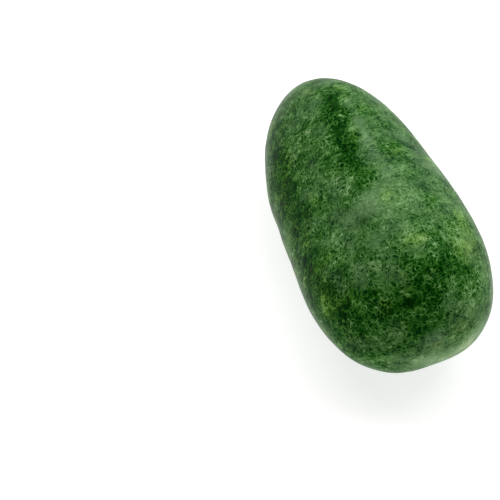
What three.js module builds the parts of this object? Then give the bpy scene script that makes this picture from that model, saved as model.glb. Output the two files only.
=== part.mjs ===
// A whole wax gourd, lying on its flattest side as it does on a shelf or a worktop, with the cut stub of its
// stalk still on. The fruit is one solid: a long blunt form, three-lobed in section because three carpels grew
// together, broader at the blossom end than at the stem end, with a hollow round the stalk.
//
// Units are millimetres. +Z is up and +Y runs from the blossom end to the stem end. The origin is on the surface
// that the gourd lies on, under the middle of the whole part.

import * as THREE from "three";

// ---- driving dimensions ----

const fruitLength = 380; // blossom pole to stem pole, before the two hollows are pressed in
const fruitDiameter = 170; // of the plain round form that the lobes are added to

const blossomBluntness = 4.1; // power of the end's profile: 2 is an ellipse, more is a flatter, squarer end
const stemBluntness = 2.8;
const taper = 0.134; // share of the radius lost at the stem end and gained at the blossom end
const bow = 1.5; // sideways swing of the middle of the axis, towards +X

// Swellings round the section: how many, their height as a share of the radius, and where the first one points,
// in degrees from +X towards the top.
const lobes = [
  { count: 2, height: 0.031, at: 52.5 },
  { count: 3, height: 0.058, at: 82.5 },
];

const stemHollow = { depth: 15, spread: 15 }; // depth at the pole, and the distance at which it fades to 1/e
const blossomHollow = { depth: 2, spread: 11 };

// How the fruit lies: on the wide shallow side between its two lower lobes.
const restPitch = -3.25; // degrees about X, which levels that side by lifting the broad blossom end
const bellySink = 2; // how much of the underside grew flat against the ground
const bellyEase = 1; // half the height over which the flat runs out into the round

const stubLength = 24; // from the floor of the stem hollow to the knife cut
const stubRadius = 6.8; // at the cut
const stubFlare = 3.2; // extra radius where the stalk spreads into the fruit
const stubRibs = 5;
const stubRibDepth = 0.09; // share of the radius
const stubLean = 2.2; // sideways drift of the cut end, towards -X
const seatGap = 0.35; // clear space between stalk and fruit, which really are grown together

const fruitFacets = { around: 60, along: 48 };
const stubFacets = { around: 40, along: 8 };

// ---- the fruit's form ----

const { clamp, degToRad, lerp } = THREE.MathUtils;
const halfLength = fruitLength / 2;
const fruitRadius = fruitDiameter / 2;

// Share of the full radius at station t, which runs from -1 at the blossom pole to 1 at the stem pole.
function profile(t) {
  const bluntness = t < 0 ? blossomBluntness : stemBluntness;
  return Math.sqrt(Math.max(0, 1 - Math.abs(t) ** bluntness));
}

// Distance from the axis of the plain round form, before the lobes.
function plainRadius(t) {
  return fruitRadius * profile(t) * (1 - taper * t);
}

// What the lobes multiply the radius by. They fade with the profile, so the section is round at both poles.
function lobing(t, angle) {
  const swell = lobes.reduce(
    (sum, lobe) => sum + lobe.height * Math.cos(lobe.count * (angle - degToRad(lobe.at))),
    0,
  );
  return 1 + profile(t) * swell;
}

// How far a hollow has sunk at a given distance from its pole.
function sunk(hollow, distance) {
  return hollow.depth * Math.exp(-((distance / hollow.spread) ** 2));
}

// A point of the skin at station t and an angle round the axis, which is 0 at +X and 90 degrees at the top.
function skinPoint(t, angle) {
  const plain = plainRadius(t);
  const radius = plain * lobing(t, angle);
  const hollowed = t < 0 ? sunk(blossomHollow, plain) : -sunk(stemHollow, plain);
  return new THREE.Vector3(
    radius * Math.cos(angle) + bow * (1 - t * t),
    halfLength * t + hollowed,
    radius * Math.sin(angle),
  );
}

// ---- how it lies ----

const restTurn = new THREE.Matrix4().makeRotationX(degToRad(restPitch));

// Height after the ground has pressed the lowest part of the skin flat: level below -ease, untouched above it,
// and a parabola between the two that meets both without a crease.
function pressedFlat(height) {
  if (height <= -bellyEase) return 0;
  if (height >= bellyEase) return height;
  return (height + bellyEase) ** 2 / (4 * bellyEase);
}

// Turns a sphere's vertices into skin points, lays the form down and presses its underside flat.
function makeFruit() {
  const geometry = new THREE.SphereGeometry(1, fruitFacets.around, fruitFacets.along);
  const place = geometry.getAttribute("position");
  for (let i = 0; i < place.count; i++) {
    const station = clamp(place.getY(i), -1, 1);
    const { x, y, z } = skinPoint(station, Math.atan2(place.getZ(i), place.getX(i)));
    place.setXYZ(i, x, y, z);
  }
  geometry.applyMatrix4(restTurn);
  geometry.computeBoundingBox();
  const drop = geometry.boundingBox.min.z + bellySink;
  geometry.translate(0, 0, -drop);
  for (let i = 0; i < place.count; i++) place.setZ(i, pressedFlat(place.getZ(i)));
  geometry.computeVertexNormals();
  const rind = new THREE.MeshStandardMaterial({ color: 0x2c5a26, roughness: 0.5, metalness: 0 });
  const fruit = new THREE.Mesh(geometry, rind);
  fruit.name = "fruit";
  return { fruit, drop };
}

// ---- the stalk ----

// Place along the axis of the stem hollow's floor, at a distance from the pole. The station whose plain radius
// is that distance is found by turning the profile's formula round, in a few rounds because of the taper.
function hollowFloor(distance) {
  let t = 1;
  for (let round = 0; round < 6; round++) {
    const share = distance / (fruitRadius * (1 - taper * t));
    t = (1 - share * share) ** (1 / stemBluntness);
  }
  return halfLength * t - sunk(stemHollow, distance);
}

// A short, ribbed stump that spreads where it meets the fruit. Its foot follows the hollow's floor.
function makeStub(drop) {
  const geometry = new THREE.CylinderGeometry(1, 1, 1, stubFacets.around, stubFacets.along);
  const place = geometry.getAttribute("position");
  const cut = halfLength - stemHollow.depth + stubLength;
  for (let i = 0; i < place.count; i++) {
    const up = place.getY(i) + 0.5; // 0 at the foot, 1 at the cut
    const across = Math.hypot(place.getX(i), place.getZ(i)); // 0 at the centre of a cap, 1 on the wall
    const angle = Math.atan2(place.getZ(i), place.getX(i));
    const ribbed = 1 + stubRibDepth * Math.cos(stubRibs * angle);
    const radius = across * (stubRadius * ribbed + stubFlare * (1 - up) ** 2);
    const foot = hollowFloor(radius) + seatGap;
    place.setXYZ(
      i,
      radius * Math.cos(angle) - stubLean * up * up,
      lerp(foot, cut, up),
      radius * Math.sin(angle),
    );
  }
  geometry.applyMatrix4(restTurn);
  geometry.translate(0, 0, -drop);
  geometry.computeVertexNormals();
  const stalk = new THREE.MeshStandardMaterial({ color: 0x8a8350, roughness: 0.8, metalness: 0 });
  const stub = new THREE.Mesh(geometry, stalk);
  stub.name = "stem_stub";
  return stub;
}

// ---- the part ----

const gourd = new THREE.Group();
const { fruit, drop } = makeFruit();
gourd.add(fruit, makeStub(drop));

// The origin goes under the middle of the whole part.
const middle = new THREE.Box3().setFromObject(gourd).getCenter(new THREE.Vector3());
gourd.position.set(-middle.x, -middle.y, 0);

export default gourd;
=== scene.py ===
# A whole wax gourd lying on a light table, with the cut stub of its stalk.
# Lengths are metres unless a name or a comment says millimetres. +Y runs from the blossom end to the stem
# end, and +Z is up.

import math

import bpy
import numpy as np
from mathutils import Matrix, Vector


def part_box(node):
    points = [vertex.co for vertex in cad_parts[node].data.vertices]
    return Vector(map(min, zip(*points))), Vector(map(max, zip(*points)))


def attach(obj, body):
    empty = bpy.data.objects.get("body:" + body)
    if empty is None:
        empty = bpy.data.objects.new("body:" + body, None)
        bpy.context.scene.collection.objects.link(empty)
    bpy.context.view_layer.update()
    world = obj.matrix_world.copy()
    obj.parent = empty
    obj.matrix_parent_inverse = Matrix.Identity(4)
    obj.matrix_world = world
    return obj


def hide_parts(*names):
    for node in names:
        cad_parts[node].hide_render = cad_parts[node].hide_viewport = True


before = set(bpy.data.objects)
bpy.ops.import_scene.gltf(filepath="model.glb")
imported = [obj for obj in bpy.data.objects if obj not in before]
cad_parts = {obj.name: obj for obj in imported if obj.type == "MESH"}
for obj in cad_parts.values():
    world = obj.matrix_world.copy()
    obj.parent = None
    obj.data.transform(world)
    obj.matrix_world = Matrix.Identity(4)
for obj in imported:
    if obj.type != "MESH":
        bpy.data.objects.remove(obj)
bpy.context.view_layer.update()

# ---- fruit ----
# The fruit is one grown body, with no parts of its own. Three carpels make its section a soft triangle. It
# is broader at the blossom end, and it has a flat, pale side where it lay on the ground.

MM = 0.001
AXIS_LENGTH = 380 * MM  # pole to pole, before the hollow and the dimple are pressed in
RADIUS = 85 * MM
BLOSSOM_BLUNTNESS = 4.1
STEM_BLUNTNESS = 2.8
TAPER = 0.134
BOW = 1.5 * MM
LOBES = ((2, 0.031, 52.5), (3, 0.058, 82.5))  # how many, share of the radius, where the first one points
STEM_HOLLOW = (15 * MM, 15 * MM)  # depth, and distance at which it fades to 1/e
BLOSSOM_DIMPLE = (2 * MM, 11 * MM)
REST_PITCH = math.radians(-3.25)
BELLY_SINK = 2 * MM  # how deep the round belly is pressed into its flat
BELLY_EASE = 1 * MM


def profile(station):
    """Share of the full radius: the square root of 1 - |station| to the power of that end's bluntness."""
    bluntness = np.where(station < 0, BLOSSOM_BLUNTNESS, STEM_BLUNTNESS)
    return np.sqrt(np.maximum(1 - np.abs(station) ** bluntness, 0))


def sunk(hollow, distance):
    """Depth of a hollow at a distance from its pole: its full depth times exp(-(distance / spread)^2)."""
    depth, spread = hollow
    return depth * np.exp(-((distance / spread) ** 2))


def skin(station, angle, relief=0.0):
    """Points of the skin, before it is laid down. The radius is RADIUS x profile x (1 - TAPER x station),
    times 1 + profile x the sum of height x cos(count x (angle - first)) over the lobes. The hollow and the
    dimple move the ends along the axis. The relief stands out from the axis by its share of the profile,
    and out from the ends by the rest."""
    share = profile(station)
    plain = RADIUS * share * (1 - TAPER * station)
    swell = sum(height * np.cos(count * (angle - math.radians(first))) for count, height, first in LOBES)
    radius = plain * (1 + share * swell) + relief * share
    along = AXIS_LENGTH / 2 * station + relief * (1 - share) * np.sign(station) + np.where(
        station < 0, sunk(BLOSSOM_DIMPLE, plain), -sunk(STEM_HOLLOW, plain)
    )
    return np.stack([radius * np.cos(angle) + BOW * (1 - station**2), along, radius * np.sin(angle)], -1)


def turned_to_rest(points):
    """Points turned about X by the rest pitch."""
    cos, sin = math.cos(REST_PITCH), math.sin(REST_PITCH)
    x, y, z = np.moveaxis(points, -1, 0)
    return np.stack([x, y * cos - z * sin, y * sin + z * cos], -1)


def pressed_flat(height):
    """0 below -ease, the height itself above ease, and (height + ease)^2 / (4 ease) between the two."""
    eased = (height + BELLY_EASE) ** 2 / (4 * BELLY_EASE)
    return np.where(height < -BELLY_EASE, 0, np.where(height > BELLY_EASE, height, eased))


def waves(points, wavelength, seed, count=60):
    """Smooth noise of spread 1: the sum of many sines in random directions, each of 0.7 to 1.5 times the
    wavelength, times the square root of 2 / count."""
    rng = np.random.default_rng(seed)
    total = np.zeros(points.shape[:-1])
    for _ in range(count):
        direction = rng.normal(size=3)
        direction *= 2 * math.pi / (np.linalg.norm(direction) * wavelength * rng.uniform(0.7, 1.5))
        total += np.sin(points @ direction + rng.uniform(0, 2 * math.pi))
    return total * math.sqrt(2 / count)


ROUND, ALONG = 352, 280  # faces round the fruit and from pole to pole
POLE_CROWDING = 0.3  # how much closer the rings lie near the poles
even = np.linspace(0, 1, ALONG + 1)
station_line = -np.cos(math.pi * even - POLE_CROWDING / 2 * np.sin(2 * math.pi * even))
angle_line = np.linspace(0, 2 * math.pi, ROUND, endpoint=False)
station, angle = np.meshgrid(station_line, angle_line, indexing="ij")
plain_skin = skin(station, angle)
from_pole = RADIUS * profile(station) * (1 - TAPER * station)


def spread(at_station, at_degrees, length, width, turn=0.0):
    """A soft oval mark on the skin: exp(-(u^2 + v^2 + w^2)), where u and v are the distances from its
    centre along and round the fruit over its half length and half width (millimetres, the oval turned by
    some degrees), and w is the distance below its plane over the longer of the two."""
    at = math.radians(at_degrees)
    centre = skin(at_station, at)
    step_along = skin(at_station + 0.001, at) - centre
    step_round = skin(at_station, at + 0.001) - centre
    down = np.cross(step_along, step_round)
    across = np.cross(down, step_along)
    unit_along, unit_round, unit_down = (v / np.linalg.norm(v) for v in (step_along, across, down))
    offset = (plain_skin - centre) / MM
    cos, sin = math.cos(math.radians(turn)), math.sin(math.radians(turn))
    along, around = offset @ unit_along, offset @ unit_round
    u = (along * cos + around * sin) / length
    v = (around * cos - along * sin) / width
    w = offset @ unit_down / max(length, width)
    return np.exp(-(u**2 + v**2 + w**2))


def marks(places):
    """The sum of soft ovals, each given as station, degrees, half length, half width, turn and strength."""
    return sum(strength * spread(*place) for *place, strength in places)


# How far the skin stands out or in. 90 degrees is the top of the fruit, and 0 its right side.
dents_mm = marks((
    # The groove and the ridge that run down from the stalk.
    (0.25, 100, 60, 8, -9, -0.55),
    (-0.14, 107, 40, 8, -4, -0.3),
    (0.15, 88, 52, 8, -6, 0.5),
    (-0.36, 76, 34, 10, -4, 0.35),
    # Dents from lying against stones and stems.
    (-0.52, 126, 12, 9, 30, -0.45),
    (0.02, 141, 20, 10, 10, -0.4),
    (-0.72, 152, 16, 12, -20, -0.4),
    (-0.86, 82, 14, 20, 15, -0.35),
    (0.35, 25, 22, 12, 15, -0.6),
    (-0.4, 8, 14, 18, 40, -0.5),
    (0.1, -35, 40, 10, -8, -0.5),
    (-0.65, 215, 20, 14, 25, -0.55),
    (0.42, 205, 30, 12, -12, -0.6),
    (-0.1, 190, 12, 16, 0, -0.4),
    # Broad swellings and hollows, which give the outline its own uneven shape.
    (0.3, 57, 60, 24, 0, 0.9),
    (-0.25, 55, 54, 24, 0, 1.8),
    (-0.55, 50, 30, 20, 0, 0.7),
    (-0.78, 14, 26, 18, 0, -0.7),
    (0.5, 155, 44, 26, 0, 1.5),
    (-0.84, 207, 34, 24, 0, 2.2),
    (-0.9, 234, 18, 22, 0, 1.6),
    (-0.935, 281, 22, 20, 0, -3.2),
    (-0.92, -20, 12, 22, 0, 0.7),
    (-0.42, 190, 44, 26, 0, -0.9),
    (-0.995, 265, 18, 18, 0, -0.6),
))
# Soft folds run out of the stem hollow like the pleats of a drawn purse.
FOLDS = 7
FOLD_HALF_WIDTH = 5 * MM
FOLD_MIDDLE = 27 * MM  # where a fold is deepest, out from the pole
rng = np.random.default_rng(7)
folds_mm = np.zeros_like(station)
for fold in range(FOLDS):
    at = 2 * math.pi * (fold + rng.uniform(-0.25, 0.25)) / FOLDS
    away = np.angle(np.exp(1j * (angle - at))) * from_pole
    reach = np.exp(-(((from_pole - FOLD_MIDDLE) / (rng.uniform(11, 20) * MM)) ** 2)) * (station > 0)
    folds_mm -= rng.uniform(0.5, 1.0) * np.exp(-((away / FOLD_HALF_WIDTH) ** 2)) * reach
# The blossom left a corky ring about 7 mm across, with a pit in its middle.
SCAR_RADIUS = 3.3 * MM
SCAR_WIDTH = 1 * MM
PIT_RADIUS = 1.6 * MM
RING_HEIGHT_MM, PIT_DEPTH_MM = 0.55, 0.5
scar_ring = np.exp(-(((from_pole - SCAR_RADIUS) / SCAR_WIDTH) ** 2)) * (station < 0)
scar_pit = np.exp(-((from_pole / PIT_RADIUS) ** 2)) * (station < 0)
scar_crumble = 1 + 0.5 * waves(plain_skin, 5 * MM, 3, 20)
scar_mm = RING_HEIGHT_MM * scar_ring * scar_crumble - PIT_DEPTH_MM * scar_pit
# The rest of the skin waves gently: height and wavelength in millimetres, and seed.
RIPPLES = ((0.35, 80, 1), (0.09, 30, 2), (0.03, 12, 4))
ripples_mm = sum(height * waves(plain_skin, length * MM, seed) for height, length, seed in RIPPLES)

SKIN_CLEARANCE = 0.4 * MM  # the skin is drawn in by this, so that its swellings stay within the model's box
relief = MM * (ripples_mm + dents_mm + folds_mm + scar_mm) - SKIN_CLEARANCE
resting = turned_to_rest(skin(station, angle, relief))

low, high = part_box("fruit")
undented = turned_to_rest(plain_skin)
shift = np.array([
    (low.x + high.x) / 2 - (undented[..., 0].min() + undented[..., 0].max()) / 2,
    (low.y + high.y) / 2 - (undented[..., 1].min() + undented[..., 1].max()) / 2,
    -undented[..., 2].min() - BELLY_SINK,
])
resting += shift
resting[..., 2] = pressed_flat(resting[..., 2])


def grid_mesh(name, rings, **fields):
    """A closed mesh from rings of points: quads between neighbouring rings, and the first and last ring
    each drawn together to one point at their mean. Each field is a number for each point, kept as an
    attribute."""
    count, around = rings.shape[:2]

    def points_of(grid):
        inner = grid[1:-1].reshape(-1, *grid.shape[2:])
        return np.concatenate([inner, [grid[0].mean(0), grid[-1].mean(0)]])

    index = np.arange((count - 2) * around).reshape(count - 2, around)
    beside = np.roll(index, -1, axis=1)
    quads = np.stack([index[:-1], index[1:], beside[1:], beside[:-1]], -1).reshape(-1, 4)
    first, last = index.size, index.size + 1
    fan_first = np.stack([np.full(around, first), index[0], beside[0]], -1)
    fan_last = np.stack([np.full(around, last), beside[-1], index[-1]], -1)
    mesh = bpy.data.meshes.new(name)
    mesh.from_pydata(points_of(rings), [], [*quads.tolist(), *fan_first.tolist(), *fan_last.tolist()])
    mesh.polygons.foreach_set("use_smooth", np.ones(len(mesh.polygons), bool))
    for field, values in fields.items():
        attribute = mesh.attributes.new(field, "FLOAT", "POINT")
        attribute.data.foreach_set("value", points_of(values).astype(np.float32))
    return mesh


# The colours follow a few marks on the skin, some of them painted highlights, sheen and shade, each a soft
# oval or two: station, degrees, half length and half width in millimetres, turn. Between them the rind only
# drifts at random.
STEM_END_REACH = 17 * MM
groove = spread(0.3, 100, 60, 10, -10) + 0.6 * spread(-0.1, 105, 40, 10, -5)
# Along the ridge the skin is paler and greyer: partly wax, partly a painted highlight.
ridge = spread(0.1, 90, 50, 6, -5)
shoulder_wax_and_sheen = spread(-0.1, 65, 100, 20)  # the broad upper right side, greyer with wax and with a painted sheen from the lamps
crown_highlight = spread(-0.4, 100, 40, 25)  # the top of the thick half, painted paler and greyer as a highlight where the lamps light it
brow_shade = spread(-0.9, 115, 20, 45)  # a dark band above the blossom end: painted shade where the end turns away from the lamps
painted_shade_flank = spread(0.3, 160, 80, 25) + spread(-0.5, 170, 70, 20)  # painted shade down the left flank: darker, greener and less waxy
chin_wax_and_sheen = spread(-0.95, -25, 15, 30, -30) + spread(-0.98, 250, 15, 20)  # the rim of the blossom end, paler and greyer: powdery wax, and a painted sheen and bounce light from the bright table
sunned = spread(-0.7, 60, 35, 15)  # yellowed by the sun
stem_end = np.exp(-((from_pole / STEM_END_REACH) ** 2)) * (station > 0)

# Darker or paler, greyer with wax, yellower, or softer in the mottling: a level, drifts, and the features.
tone = 0.22 + 0.045 * waves(plain_skin, 42 * MM, 11) + 0.045 * waves(plain_skin, 18 * MM, 12)
tone += 0.15 * ridge + 0.2 * crown_highlight + 0.5 * chin_wax_and_sheen + 0.1 * sunned
tone -= 0.3 * groove + 0.3 * brow_shade + 0.2 * painted_shade_flank
wax = 0.15 + 0.12 * waves(plain_skin, 34 * MM, 13)
wax += 0.5 * ridge + 0.35 * shoulder_wax_and_sheen + 0.2 * crown_highlight + 0.5 * chin_wax_and_sheen
wax -= 0.6 * groove + 0.4 * brow_shade + 0.5 * painted_shade_flank
yellow = 0.1 + 0.1 * waves(plain_skin, 26 * MM, 14) + 0.5 * sunned + 0.2 * painted_shade_flank + 0.5 * stem_end
soft = 0.05 + 0.07 * waves(plain_skin, 30 * MM, 16)
ground = 1.3 * spread(-0.08, 276, 100, 44) * (1 + 0.12 * waves(plain_skin, 22 * MM, 15))
cork = 0.7 * np.maximum(scar_ring, 0.8 * scar_pit) + 0.35 * spread(-0.98, 30, 7, 7)

fruit_mesh = grid_mesh(
    "fruit_rind", resting, tone=tone, wax=wax, yellow=yellow, soft=soft, ground=ground, cork=cork
)
fruit = bpy.data.objects.new("fruit_rind", fruit_mesh)
bpy.context.scene.collection.objects.link(fruit)


def linear(hex_colour):
    """An sRGB hex colour as linear red, green, blue and alpha 1."""
    parts = [int(hex_colour[i:i + 2], 16) / 255 for i in (1, 3, 5)]
    return [c / 12.92 if c <= 0.04045 else ((c + 0.055) / 1.055) ** 2.4 for c in parts] + [1]


def add_node(tree, kind, inputs=None, **properties):
    """A node of that kind with its properties set. Each input, by name or number, is a value for that
    socket, an output socket that feeds it, or a node whose first output in use feeds it."""
    node = tree.nodes.new(kind)
    for name, value in properties.items():
        setattr(node, name, value)
    for socket, source in (inputs or {}).items():
        if isinstance(source, bpy.types.Node):
            source = next(output for output in source.outputs if output.enabled)
        if isinstance(source, bpy.types.NodeSocket):
            tree.links.new(source, node.inputs[socket])
        else:
            node.inputs[socket].default_value = source
    return node


# The rind of a ripe wax gourd: a thin hard green skin, mottled by paler threads that curl round dark cells
# about 4 mm across, under a breath of its own wax. The wax greys the green, softens the mottling and
# scatters the light, so the surface has no sharp reflections. Its powder and the last fine hairs give the
# edges a grey sheen.
CELL = 3.9 * MM
SLOW_DRIFT, QUICK_DRIFT = 3.2 * CELL, 1.3 * CELL
CURL = 5.5 * MM
STRAND = 4.5 * MM
FLECK = 6.5 * MM
CLOUD = 20 * MM
GRAIN = 1.3 * MM
GLINT = 3 * MM
THREAD_RISE, CURL_RISE, FLECK_RISE, GLINT_RISE = 0.34, 0.26, 0.95, 0.38  # how far each lifts the tone
CELL_DEPTH = 0.16  # how far the tone sinks in the middle of a cell, and rises at its wall
GREENS = ("#012801", "#0f4a07", "#386c25", "#5c8b48", "#81ab6e", "#b1cd9c")
YELLOW_GREENS = ("#0e2b03", "#27560b", "#4f7f22", "#71a03d", "#95bd62", "#c2db92")
WAX_GREY = "#8ca48a"
GROUND_CREAM, GROUND_STRAW, SOIL_BROWN = "#d3cf9e", "#b3b070", "#8f7d4e"
CORK_BUFF = "#647f42"

rind = bpy.data.materials.new("waxy_rind")
rind.use_nodes = True
tree = rind.node_tree
tree.nodes.clear()
place = add_node(tree, "ShaderNodeTexCoord").outputs["Object"]
tone_here, wax_here, yellow_here, soft_here, ground_here, cork_here = (
    add_node(tree, "ShaderNodeAttribute", attribute_name=name).outputs["Fac"]
    for name in ("tone", "wax", "yellow", "soft", "ground", "cork")
)

# Slow and quick drifts bend the cells, so that no two are alike.
slow_drift = add_node(tree, "ShaderNodeTexNoise", {
    "Vector": place, "Scale": 1 / SLOW_DRIFT, "Detail": 1.0,
})
slow_bend = add_node(tree, "ShaderNodeVectorMath", {
    0: slow_drift.outputs["Color"], 1: (3.0 * CELL,) * 3, 2: place,
}, operation="MULTIPLY_ADD")
quick_drift = add_node(tree, "ShaderNodeTexNoise", {
    "Vector": place, "Scale": 1 / QUICK_DRIFT, "Detail": 2.0,
})
bent = add_node(tree, "ShaderNodeVectorMath", {
    0: quick_drift.outputs["Color"], 1: (1.5 * CELL,) * 3, 2: slow_bend,
}, operation="MULTIPLY_ADD")

cloud_noise = add_node(tree, "ShaderNodeTexNoise", {"Vector": place, "Scale": 1 / CLOUD, "Detail": 3.0})
cloud = add_node(tree, "ShaderNodeMath", {0: cloud_noise, 1: 0.5}, operation="SUBTRACT")

# Threads follow the cell walls. They thicken, thin and break off as the strand noise rises and falls.
cells = add_node(tree, "ShaderNodeTexVoronoi", {
    "Vector": bent, "Scale": 1 / CELL,
}, feature="DISTANCE_TO_EDGE")
strand_noise = add_node(tree, "ShaderNodeTexNoise", {"Vector": place, "Scale": 1 / STRAND, "Detail": 2.0})
strand = add_node(tree, "ShaderNodeMapRange", {
    "Value": strand_noise, "From Min": 0.36, "From Max": 0.68,
}, interpolation_type="SMOOTHSTEP")
wall = add_node(tree, "ShaderNodeMath", {0: strand, 1: 0.2, 2: 0.1}, operation="MULTIPLY_ADD")
line = add_node(tree, "ShaderNodeMapRange", {
    "Value": cells, "From Min": 0.0, "From Max": wall, "To Min": 1.0, "To Max": 0.0,
}, interpolation_type="SMOOTHSTEP")
thread = add_node(tree, "ShaderNodeMath", {0: line, 1: strand}, operation="MULTIPLY")

# Finer curls wander across the cells where a second noise passes its middle.
curl_noise = add_node(tree, "ShaderNodeTexNoise", {"Vector": bent, "Scale": 1 / CURL, "Detail": 1.0})
curl_side = add_node(tree, "ShaderNodeMath", {0: curl_noise, 1: 0.5}, operation="SUBTRACT")
curl_gap = add_node(tree, "ShaderNodeMath", {0: curl_side}, operation="ABSOLUTE")
curl_line = add_node(tree, "ShaderNodeMapRange", {
    "Value": curl_gap, "From Min": 0.0, "From Max": 0.06, "To Min": 1.0, "To Max": 0.0,
}, interpolation_type="SMOOTHSTEP")
curl_share = add_node(tree, "ShaderNodeMapRange", {
    "Value": strand_noise, "From Min": 0.6, "From Max": 0.35,
}, interpolation_type="SMOOTHSTEP")
curl = add_node(tree, "ShaderNodeMath", {0: curl_line, 1: curl_share}, operation="MULTIPLY")

# The mottle is the sum of all these, darkest in the middles of the cells.
middle = add_node(tree, "ShaderNodeMapRange", {
    "Value": cells, "From Min": 0.05, "From Max": 0.45, "To Min": CELL_DEPTH, "To Max": -CELL_DEPTH,
}, interpolation_type="SMOOTHSTEP")
fleck_noise = add_node(tree, "ShaderNodeTexNoise", {"Vector": bent, "Scale": 1 / FLECK, "Detail": 3.0})
fleck = add_node(tree, "ShaderNodeMath", {0: fleck_noise, 1: 0.5}, operation="SUBTRACT")
mottle = add_node(tree, "ShaderNodeMath", {0: fleck, 1: FLECK_RISE, 2: middle}, operation="MULTIPLY_ADD")
mottle = add_node(tree, "ShaderNodeMath", {0: thread, 1: THREAD_RISE, 2: mottle}, operation="MULTIPLY_ADD")
mottle = add_node(tree, "ShaderNodeMath", {0: curl, 1: CURL_RISE, 2: mottle}, operation="MULTIPLY_ADD")

# Here and there a short stretch of thread is painted nearly white, as a glint of light.
glint_noise = add_node(tree, "ShaderNodeTexNoise", {"Vector": place, "Scale": 1 / GLINT, "Detail": 1.0})
glint = add_node(tree, "ShaderNodeMapRange", {
    "Value": glint_noise, "From Min": 0.6, "From Max": 0.75,
}, interpolation_type="SMOOTHSTEP")
glint = add_node(tree, "ShaderNodeMath", {0: glint, 1: line}, operation="MULTIPLY")
mottle = add_node(tree, "ShaderNodeMath", {0: glint, 1: GLINT_RISE, 2: mottle}, operation="MULTIPLY_ADD")

# Wax lies in clouds, and softens the mottling where it is thick.
wax_share = add_node(tree, "ShaderNodeMath", {0: cloud, 1: 0.9, 2: wax_here}, operation="MULTIPLY_ADD")
wax_share = add_node(tree, "ShaderNodeMapRange", {
    "Value": wax_share, "From Min": 0.0, "From Max": 1.4, "To Min": 0.0, "To Max": 0.62,
})
pores = add_node(tree, "ShaderNodeTexNoise", {"Vector": place, "Scale": 1 / GRAIN, "Detail": 2.0})
powder = add_node(tree, "ShaderNodeMapRange", {
    "Value": pores, "From Min": 0.35, "From Max": 0.65, "To Min": 0.6, "To Max": 1.4,
})
clearness = add_node(tree, "ShaderNodeMath", {0: wax_share, 1: -1.6, 2: 0.98}, operation="MULTIPLY_ADD")
clearness = add_node(tree, "ShaderNodeMath", {0: clearness, 1: soft_here}, operation="SUBTRACT")
mottle = add_node(tree, "ShaderNodeMath", {0: mottle, 1: clearness}, operation="MULTIPLY")
tone_clouded = add_node(tree, "ShaderNodeMath", {0: cloud, 1: 0.35, 2: tone_here}, operation="MULTIPLY_ADD")
level = add_node(tree, "ShaderNodeMath", {0: mottle, 1: tone_clouded}, operation="ADD")

# The level runs from the darkest green to the palest, on a plain ramp or on a yellower one.
green_ramp, yellow_ramp = (add_node(tree, "ShaderNodeValToRGB", {"Fac": level}) for _ in range(2))
for ramp, colours in ((green_ramp, GREENS), (yellow_ramp, YELLOW_GREENS)):
    stops = ramp.color_ramp.elements
    for at in range(1, len(colours) - 1):
        stops.new(at / (len(colours) - 1))
    for stop, colour in zip(stops, colours):
        stop.color = linear(colour)
yellow_share = add_node(tree, "ShaderNodeMath", {0: cloud, 1: yellow_here}, operation="ADD")
yellow_share = add_node(tree, "ShaderNodeMapRange", {
    "Value": yellow_share, "From Min": 0.1, "From Max": 0.8,
}, interpolation_type="SMOOTHSTEP")
green = add_node(tree, "ShaderNodeMix", {0: yellow_share, 6: green_ramp, 7: yellow_ramp}, data_type="RGBA")

# The wax lies as a powder, and the darkest cells show through it.
veil = add_node(tree, "ShaderNodeMapRange", {
    "Value": level, "From Min": 0.0, "From Max": 0.35, "To Min": 0.12, "To Max": 1.0,
})
veil = add_node(tree, "ShaderNodeMath", {0: veil, 1: powder}, operation="MULTIPLY")
veil = add_node(tree, "ShaderNodeMath", {0: veil, 1: wax_share}, operation="MULTIPLY")
green = add_node(tree, "ShaderNodeMix", {0: veil, 6: green, 7: linear(WAX_GREY)}, data_type="RGBA")

# Where it lay on the ground, the threads pale first and a few dark cells last, and soil has stained the
# pores.
patchy = add_node(tree, "ShaderNodeMath", {0: cloud, 1: 0.8, 2: 1.0}, operation="MULTIPLY_ADD")
patchy = add_node(tree, "ShaderNodeMath", {0: mottle, 1: 0.8, 2: patchy}, operation="MULTIPLY_ADD")
ground_share = add_node(tree, "ShaderNodeMath", {0: patchy, 1: ground_here}, operation="MULTIPLY")
ground_share = add_node(tree, "ShaderNodeMapRange", {
    "Value": ground_share, "From Min": 0.3, "From Max": 1.15, "To Min": 0.0, "To Max": 0.92,
}, interpolation_type="SMOOTHSTEP")
straw = add_node(tree, "ShaderNodeMapRange", {"Value": fleck_noise, "From Min": 0.35, "From Max": 0.65})
ground_skin = add_node(tree, "ShaderNodeMix", {
    0: straw, 6: linear(GROUND_STRAW), 7: linear(GROUND_CREAM),
}, data_type="RGBA")
soil = add_node(tree, "ShaderNodeMapRange", {
    "Value": pores, "From Min": 0.56, "From Max": 0.7, "To Min": 0.0, "To Max": 0.45,
}, interpolation_type="SMOOTHSTEP")
ground_skin = add_node(tree, "ShaderNodeMix", {
    0: soil, 6: ground_skin, 7: linear(SOIL_BROWN),
}, data_type="RGBA")
green = add_node(tree, "ShaderNodeMix", {0: ground_share, 6: green, 7: ground_skin}, data_type="RGBA")
green = add_node(tree, "ShaderNodeMix", {0: cork_here, 6: green, 7: linear(CORK_BUFF)}, data_type="RGBA")

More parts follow.
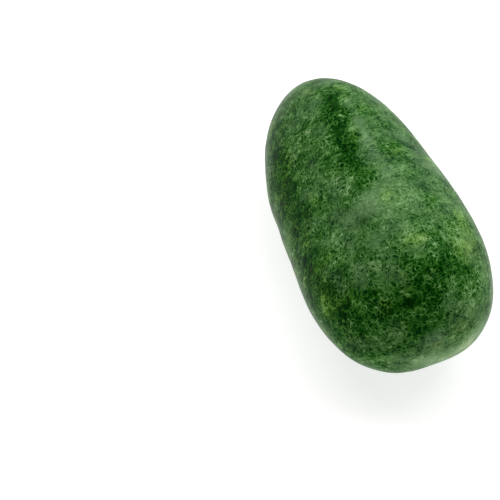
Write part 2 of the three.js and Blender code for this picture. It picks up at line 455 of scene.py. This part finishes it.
# Threads and pores stand out a little, and thick wax is duller than thin.
raised_skin = add_node(tree, "ShaderNodeMath", {0: thread, 1: 0.5, 2: pores}, operation="MULTIPLY_ADD")
bump = add_node(tree, "ShaderNodeBump", {"Strength": 0.35, "Distance": 0.25 * MM, "Height": raised_skin})
roughness = add_node(tree, "ShaderNodeMapRange", {
    "Value": wax_here, "From Min": 0.0, "From Max": 1.0, "To Min": 0.5, "To Max": 0.66,
})
shader = add_node(tree, "ShaderNodeBsdfPrincipled", {
    "Base Color": green,
    "Roughness": roughness,
    "Normal": bump,
    "IOR": 1.4,
    "Specular IOR Level": 0.015,
    "Sheen Weight": 0.42,
    "Sheen Roughness": 0.27,
})
add_node(tree, "ShaderNodeOutputMaterial", {"Surface": shader})
fruit_mesh.materials.append(rind)
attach(fruit, "root")
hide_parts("fruit")

# ---- stem stub ----
# The stalk was cut with a knife a finger's width above the fruit. It is woody and five-ribbed, its foot
# spreads into the hollow, and the cut face has dried to a shallow dish with the strands showing round the
# pith.

STUB_LENGTH = 24 * MM
STUB_RADIUS = 6.8 * MM
STUB_FLARE = 3.2 * MM
RIBS = 5
RIB_DEPTH = 0.09
RIB_UNEVENNESS = 0.02
FURROW_DEPTH = 0.45 * MM
FIBRE_COUNTS = (17, 23, 29, 37, 46)
FIBRE_DEPTH = 2.2 * MM  # of one fibre all the way round; a finer one is shallower by its count
STUB_LEAN = 2.2 * MM
FOOT_SINK = 2.5 * MM  # the foot reaches below the skin, so that no gap shows round it
STUB_CLEARANCE = 0.15 * MM
EDGE_DROP = 0.5 * MM
DISH_DEPTH = 0.9 * MM
PITH_DEPTH = 1.6 * MM
PITH_RADIUS_MM, PITH_LOBES_MM = 1.3, 0.35
STRAND_HEIGHT = 0.25 * MM
CRACK_DEPTH = 0.4 * MM
STRANDS, CRACKS = 10, 7
STUB_ROUND = 160
SIDE_RINGS, FACE_RINGS, BASE_RINGS = 90, 40, 5


def stub_outline(up, around):
    """Radius of the stub at a share of its height: the ribbed radius plus the flare x (1 - up)^2, less a
    narrow furrow between the ribs, with fine fibres that wander round it as they rise."""
    ribs = 1 + RIB_DEPTH * np.cos(RIBS * around) + RIB_UNEVENNESS * np.cos(2 * RIBS * around + 0.6)
    furrow = FURROW_DEPTH * (0.5 - 0.5 * np.cos(RIBS * around)) ** 6
    fibre_rng = np.random.default_rng(21)
    fibres = np.zeros(np.broadcast(up, around).shape)
    for count in FIBRE_COUNTS:
        start, wander = fibre_rng.uniform(0, 2 * math.pi), fibre_rng.uniform(-1.5, 1.5)
        fibres += np.cos(count * around + start + wander * np.sin(2.5 * up + start)) / count
    fibres *= FIBRE_DEPTH * (0.5 + 0.5 * up)
    return STUB_RADIUS * ribs + STUB_FLARE * (1 - up) ** 2 - furrow + fibres - STUB_CLEARANCE


# Heights are along the fruit's axis. The foot follows the hollow, and the cut face is level but for its
# dish.
pole_height = AXIS_LENGTH / 2
cut_height = pole_height - STEM_HOLLOW[0] + STUB_LENGTH
around_line = np.linspace(0, 2 * math.pi, STUB_ROUND, endpoint=False)
up, around = np.meshgrid(np.linspace(0, 1, SIDE_RINGS), around_line, indexing="ij")
side_radius = stub_outline(up, around)
foot_height = pole_height - sunk(STEM_HOLLOW, side_radius) - FOOT_SINK
side_height = foot_height + (cut_height - foot_height) * up
share, face_around = np.meshgrid(np.linspace(1, 0, FACE_RINGS), around_line, indexing="ij")
face_radius = stub_outline(np.ones_like(share), face_around) * share
edge = EDGE_DROP * share**16
dish = DISH_DEPTH * np.exp(-((share / 0.55) ** 2))
pith_radius = (PITH_RADIUS_MM + PITH_LOBES_MM * np.cos(RIBS * face_around)) * MM
pith = PITH_DEPTH * np.exp(-((face_radius / pith_radius) ** 4))
strands = np.exp(-(((share - 0.66) / 0.09) ** 2)) * (0.5 + 0.5 * np.cos(STRANDS * face_around)) ** 2
crack_lines = (0.5 + 0.5 * np.cos(CRACKS * face_around + 3 * share)) ** 12
cracks = np.exp(-(((share - 0.4) / 0.25) ** 2)) * crack_lines
face_height = cut_height - STUB_CLEARANCE - edge - dish - pith
face_height += STRAND_HEIGHT * strands - CRACK_DEPTH * cracks
base_share = np.linspace(0, 1, BASE_RINGS)[:, None] * np.ones_like(around_line)
base_radius = side_radius[0] * base_share
base_height = pole_height - sunk(STEM_HOLLOW, base_radius) - FOOT_SINK - 0.5 * MM
stub_radius = np.concatenate([base_radius, side_radius, face_radius])
stub_height = np.concatenate([base_height, side_height, face_height])
stub_around = np.concatenate([np.broadcast_to(around_line, base_radius.shape), around, face_around])
raised = np.clip((stub_height - pole_height + STEM_HOLLOW[0]) / STUB_LENGTH, 0, 1)
stub_points = np.stack([
    stub_radius * np.cos(stub_around) - STUB_LEAN * raised**2,
    stub_height,
    stub_radius * np.sin(stub_around),
], -1)
cut = np.concatenate([np.zeros_like(base_radius), up**60, np.ones_like(share)])
# The cut face is darker along its strands and towards its rim, and painted darker in its cracks as shade.
darkened = strands + 0.8 * share**10 + 0.6 * cracks
woody = np.concatenate([np.zeros_like(base_radius), np.zeros_like(up), darkened])
foot = np.exp(-((raised / 0.4) ** 2))
stub_rings = turned_to_rest(stub_points) + shift
stub_mesh = grid_mesh("stem_stub_wood", stub_rings, cut=cut, woody=woody, foot=foot)
stub = bpy.data.objects.new("stem_stub_wood", stub_mesh)
bpy.context.scene.collection.objects.link(stub)

# Dried stalk: green-brown outside with fine pale fibres along it, still green at the foot, and a buff cut
# face with darker strands. It is dull, because the sap has gone and the fibres stand up.
FIBRE = 0.7 * MM
FIBRE_STRETCH = 0.07  # across over along
STAIN = 6 * MM
WOOD_GRAIN = 0.8 * MM
BARK_GREEN, BARK_STRAW, BARK_BROWN, FOOT_GREEN = "#4c5228", "#9a9360", "#6b5a35", "#5c7034"
WOOD_DARK, WOOD_PALE, STRAND_BROWN = "#a8986a", "#d2c69a", "#6f5d38"
stalk = bpy.data.materials.new("dry_cut_stalk")
stalk.use_nodes = True
tree = stalk.node_tree
tree.nodes.clear()
place = add_node(tree, "ShaderNodeTexCoord").outputs["Object"]
stretched = add_node(tree, "ShaderNodeMapping", {"Vector": place, "Scale": (1.0, FIBRE_STRETCH, 1.0)})
fibre = add_node(tree, "ShaderNodeTexNoise", {"Vector": stretched, "Scale": 1 / FIBRE, "Detail": 3.0})
stain = add_node(tree, "ShaderNodeTexNoise", {"Vector": place, "Scale": 1 / STAIN, "Detail": 3.0})
fibre_share = add_node(tree, "ShaderNodeMapRange", {"Value": fibre, "From Min": 0.35, "From Max": 0.65})
stain_share = add_node(tree, "ShaderNodeMapRange", {"Value": stain, "From Min": 0.4, "From Max": 0.7})
bark = add_node(tree, "ShaderNodeMix", {
    0: fibre_share, 6: linear(BARK_GREEN), 7: linear(BARK_STRAW),
}, data_type="RGBA")
bark = add_node(tree, "ShaderNodeMix", {0: stain_share, 6: bark, 7: linear(BARK_BROWN)}, data_type="RGBA")
foot_here = add_node(tree, "ShaderNodeAttribute", attribute_name="foot").outputs["Fac"]
foot_share = add_node(tree, "ShaderNodeMath", {0: foot_here, 1: fibre}, operation="MULTIPLY")
foot_share = add_node(tree, "ShaderNodeMapRange", {
    "Value": foot_share, "From Min": 0.05, "From Max": 0.45, "To Min": 0.0, "To Max": 0.85,
})
bark = add_node(tree, "ShaderNodeMix", {0: foot_share, 6: bark, 7: linear(FOOT_GREEN)}, data_type="RGBA")
grain = add_node(tree, "ShaderNodeTexNoise", {"Vector": place, "Scale": 1 / WOOD_GRAIN, "Detail": 3.0})
cut_wood = add_node(tree, "ShaderNodeMix", {
    0: grain, 6: linear(WOOD_DARK), 7: linear(WOOD_PALE),
}, data_type="RGBA")
woody_here = add_node(tree, "ShaderNodeAttribute", attribute_name="woody").outputs["Fac"]
cut_wood = add_node(tree, "ShaderNodeMix", {
    0: woody_here, 6: cut_wood, 7: linear(STRAND_BROWN),
}, data_type="RGBA")
cut_here = add_node(tree, "ShaderNodeAttribute", attribute_name="cut").outputs["Fac"]
stalk_colour = add_node(tree, "ShaderNodeMix", {0: cut_here, 6: bark, 7: cut_wood}, data_type="RGBA")
fibre_bump = add_node(tree, "ShaderNodeBump", {"Strength": 0.5, "Distance": 0.2 * MM, "Height": fibre})
shader = add_node(tree, "ShaderNodeBsdfPrincipled", {
    "Base Color": stalk_colour,
    "Roughness": 0.82,
    "Normal": fibre_bump,
    "Specular IOR Level": 0.3,
})
add_node(tree, "ShaderNodeOutputMaterial", {"Surface": shader})
stub_mesh.materials.append(stalk)
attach(stub, "root")
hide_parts("stem_stub")

# ---- table, light and camera ----
# The gourd lies on a light table, a wide sheet of opal acrylic lit from below, so it casts only a faint
# shadow and its underside isn't black. Big soft lamps hang high behind it and to its right, and leave the
# blossom end in soft shade.

TABLE_SIZE = 16.0
TABLE_GLOW = 0.78
table_mesh = bpy.data.meshes.new("table_top")
half = TABLE_SIZE / 2
corners = [(-half, -half, 0), (half, -half, 0), (half, half, 0), (-half, half, 0)]
table_mesh.from_pydata(corners, [], [(0, 1, 2, 3)])
table = bpy.data.objects.new("table_top", table_mesh)
bpy.context.scene.collection.objects.link(table)
acrylic = bpy.data.materials.new("opal_acrylic")
acrylic.use_nodes = True
tree = acrylic.node_tree
tree.nodes.clear()
shader = add_node(tree, "ShaderNodeBsdfPrincipled", {
    "Base Color": linear("#b0b0ae"),
    "Roughness": 0.8,
    "Emission Color": linear("#ffffff"),
    "Emission Strength": TABLE_GLOW,
})
add_node(tree, "ShaderNodeOutputMaterial", {"Surface": shader})
table_mesh.materials.append(acrylic)

LAMPS = {  # degrees from +Y towards +X, degrees above the table, strength
    "back_right_lamp": (58, 58, 1.55),
    "back_lamp": (345, 58, 1.2),
    "right_lamp": (92, 42, 0.6),
}
LAMP_WIDTH = math.radians(45)
for name, (bearing, elevation, strength) in LAMPS.items():
    light = bpy.data.lights.new(name, "SUN")
    light.angle = LAMP_WIDTH
    light.energy = strength
    lamp = bpy.data.objects.new(name, light)
    lamp.rotation_euler = (math.radians(90 - elevation), 0, math.radians(180 - bearing))
    bpy.context.scene.collection.objects.link(lamp)

# The room gives little light of its own, and looks white past the edge of the table.
ROOM_LIGHT = 0.12
room = bpy.data.worlds.new("room")
room.use_nodes = True
tree = room.node_tree
tree.nodes.clear()
seen = add_node(tree, "ShaderNodeLightPath").outputs["Is Camera Ray"]
glow = add_node(tree, "ShaderNodeMapRange", {"Value": seen, "To Min": ROOM_LIGHT, "To Max": 1.0})
walls = add_node(tree, "ShaderNodeBackground", {"Color": linear("#ffffff"), "Strength": glow})
add_node(tree, "ShaderNodeOutputWorld", {"Surface": walls})
bpy.context.scene.world = room
bpy.context.scene.view_settings.view_transform = "Standard"

# The camera stands over the blossom end, to its left, and looks down on the gourd.
CAMERA_PLACE = (-0.3807, -0.8371, 1.0268)
CAMERA_DIP, CAMERA_BEARING = 48, 17.44  # degrees below level, and from +Y towards +X
SENSOR_MM, LENS_MM = 36, 93.6
camera_lens = bpy.data.cameras.new("camera")
camera_lens.sensor_width = SENSOR_MM
camera_lens.lens = LENS_MM
camera = bpy.data.objects.new("camera", camera_lens)
camera.location = CAMERA_PLACE
camera.rotation_euler = (math.radians(90 - CAMERA_DIP), 0, math.radians(-CAMERA_BEARING))
bpy.context.scene.collection.objects.link(camera)
bpy.context.scene.camera = camera
